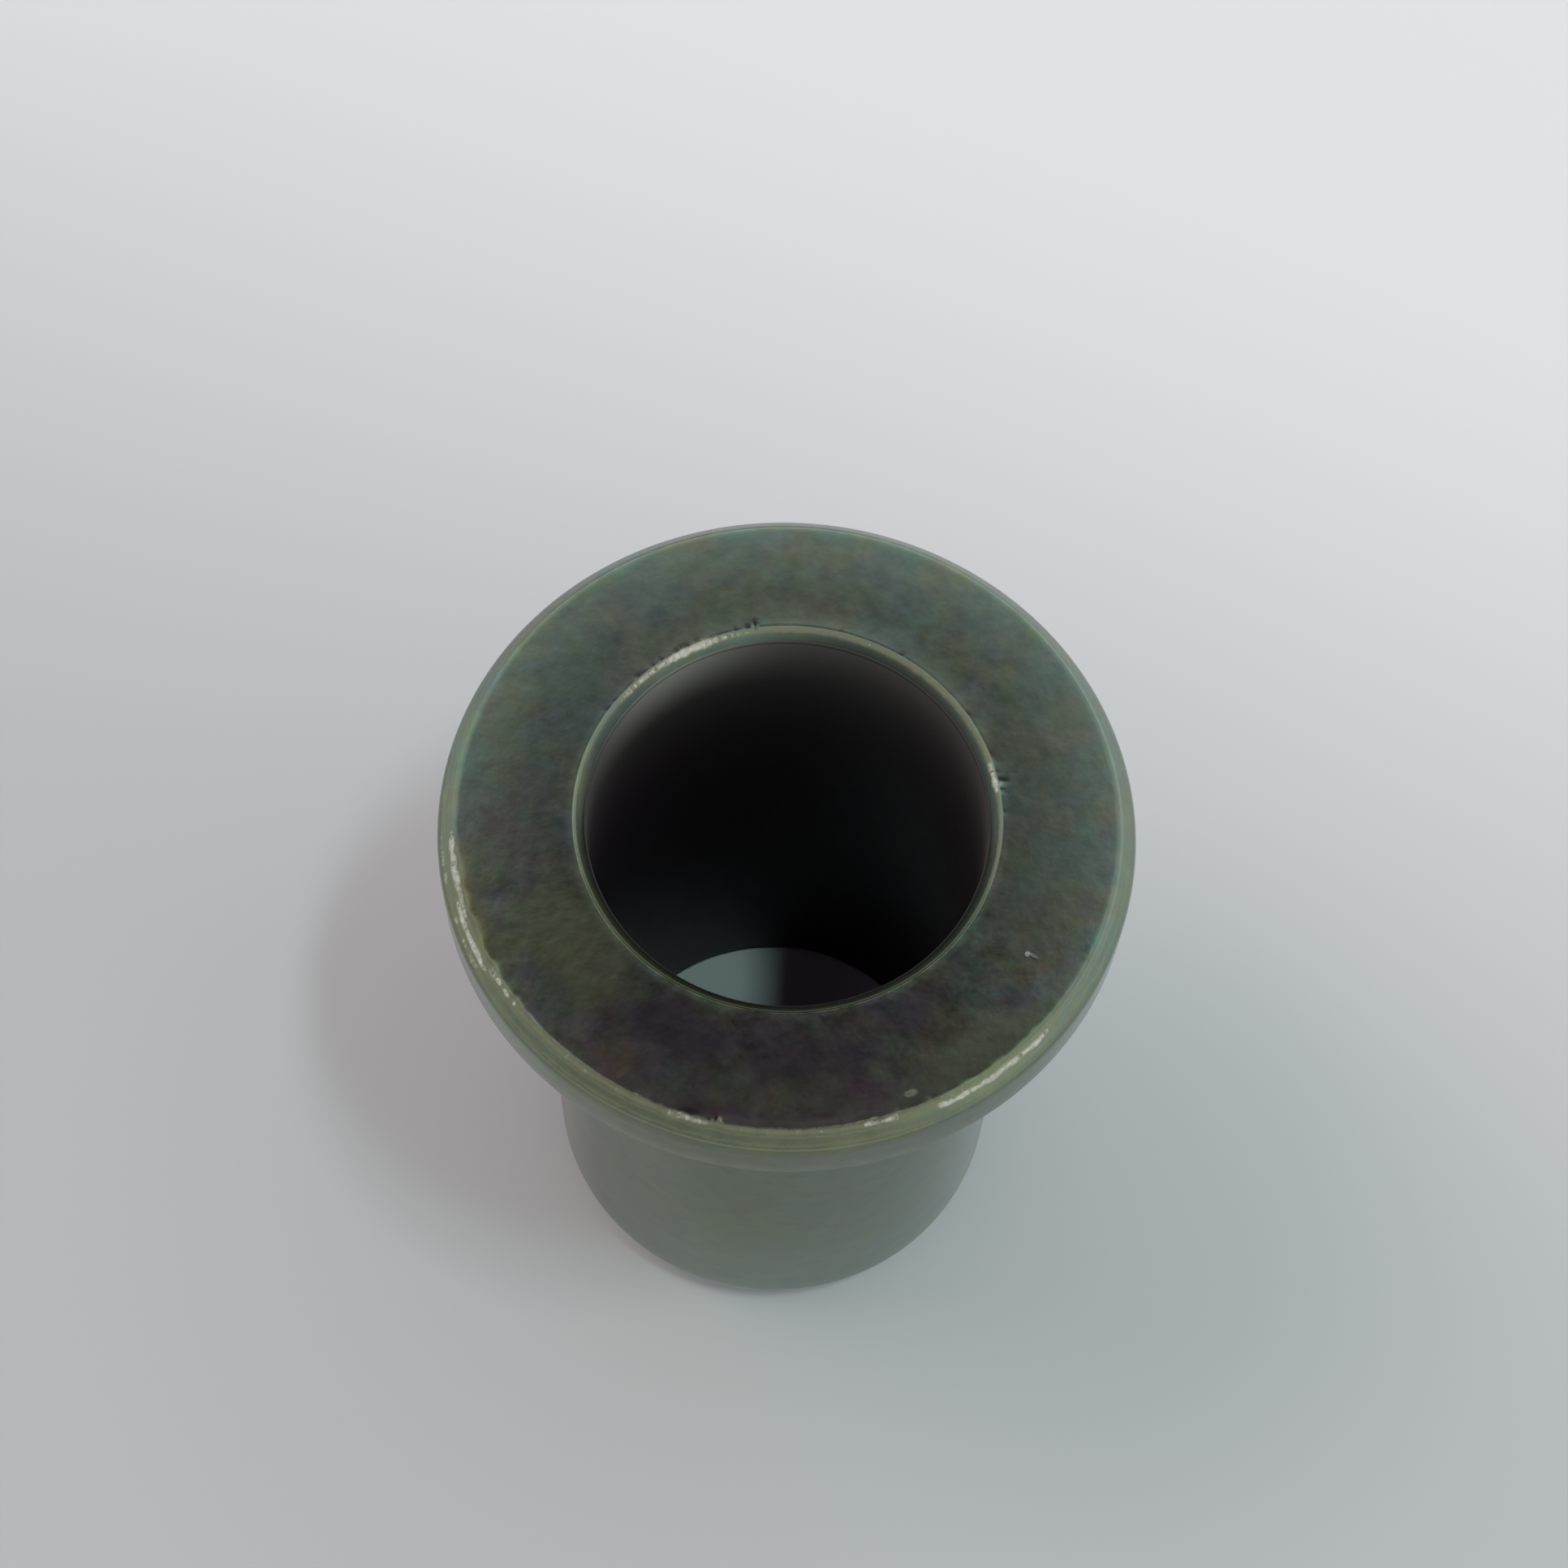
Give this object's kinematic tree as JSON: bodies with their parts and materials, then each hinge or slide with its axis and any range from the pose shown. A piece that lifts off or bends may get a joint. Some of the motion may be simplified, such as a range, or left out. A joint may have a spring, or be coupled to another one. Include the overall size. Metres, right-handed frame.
{
  "type": "swingarm bushing",
  "caption": "Turned steel flanged sleeve with a plain through bore, pressed into a swingarm tube to carry the pivot bolt.",
  "frame": {"origin": "centre of the barrel's lower end face, on which the bushing stands", "axes": "+Z along the turning axis, from the barrel's lower end up to the flange"},
  "size_m": [0.0244, 0.0244, 0.0284],
  "materials": {
    "dark_steel": "satin"
  },
  "bodies": {
    "root": {"flanged_bushing": "dark_steel"}
  },
  "joints": []
}
